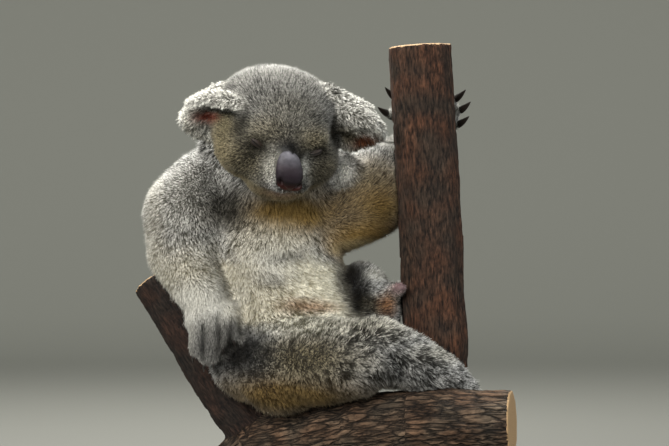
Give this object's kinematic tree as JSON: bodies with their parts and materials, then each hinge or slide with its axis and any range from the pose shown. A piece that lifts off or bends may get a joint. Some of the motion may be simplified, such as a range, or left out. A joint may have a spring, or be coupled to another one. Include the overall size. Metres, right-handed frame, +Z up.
{
  "type": "koala",
  "caption": "Life-size still model of a koala asleep in a eucalyptus fork, one arm round the trunk, on a flat base with two short steel rods.",
  "frame": {"origin": "centre of the underside of the stand's base plate", "axes": "+Z up, +X to the koala's left, the koala faces -Y"},
  "size_m": [0.4422, 0.2805, 0.5542],
  "materials": {
    "grey_fur": "short dense woolly fur, salt-and-pepper grey with cream tips",
    "pale_fur": "short soft fur, cream to pale grey, stained golden on the upper chest",
    "nose_leather": "bare fine-pebbled nose leather, dark purple-grey, reddish brown at the nostrils, slight moist sheen",
    "eyelid_skin": "bare dark rim of closed eyelids, matt",
    "claws": "black horn, satin",
    "bark": "rough fissured bark with sawn ends",
    "stand_base": "satin dark grey lacquer",
    "stand_steel": "brushed"
  },
  "bodies": {
    "root": {"arm_left_forearm": "grey_fur", "arm_left_upper": "grey_fur", "arm_right_forearm": "grey_fur", "arm_right_upper": "grey_fur", "belly": "pale_fur", "chest": "pale_fur", "claw_foot_left_2": "claws", "claw_foot_left_3": "claws", "claw_foot_left_4": "claws", "claw_foot_left_5": "claws", "claw_foot_right_2": "claws", "claw_foot_right_3": "claws", "claw_foot_right_4": "claws", "claw_foot_right_5": "claws", "claw_hand_left_1": "claws", "claw_hand_left_2": "claws", "claw_hand_left_3": "claws", "claw_hand_left_4": "claws", "claw_hand_left_5": "claws", "claw_hand_right_1": "claws", "claw_hand_right_2": "claws", "claw_hand_right_3": "claws", "claw_hand_right_4": "claws", "claw_hand_right_5": "claws", "ear_left": "grey_fur", "ear_right": "grey_fur", "eyelid_left": "eyelid_skin", "eyelid_right": "eyelid_skin", "foot_left": "grey_fur", "foot_right": "grey_fur", "hand_left": "grey_fur", "hand_right": "grey_fur", "head": "grey_fur", "jaw": "grey_fur", "leg_left_shin": "grey_fur", "leg_left_thigh": "grey_fur", "leg_right_shin": "grey_fur", "leg_right_thigh": "grey_fur", "neck": "grey_fur", "nose": "nose_leather", "perch_fork": "bark", "perch_limb": "bark", "perch_trunk": "bark", "rump": "pale_fur", "stand_base": "stand_base", "stand_rod_fork": "stand_steel", "stand_rod_trunk": "stand_steel"}
  },
  "joints": []
}
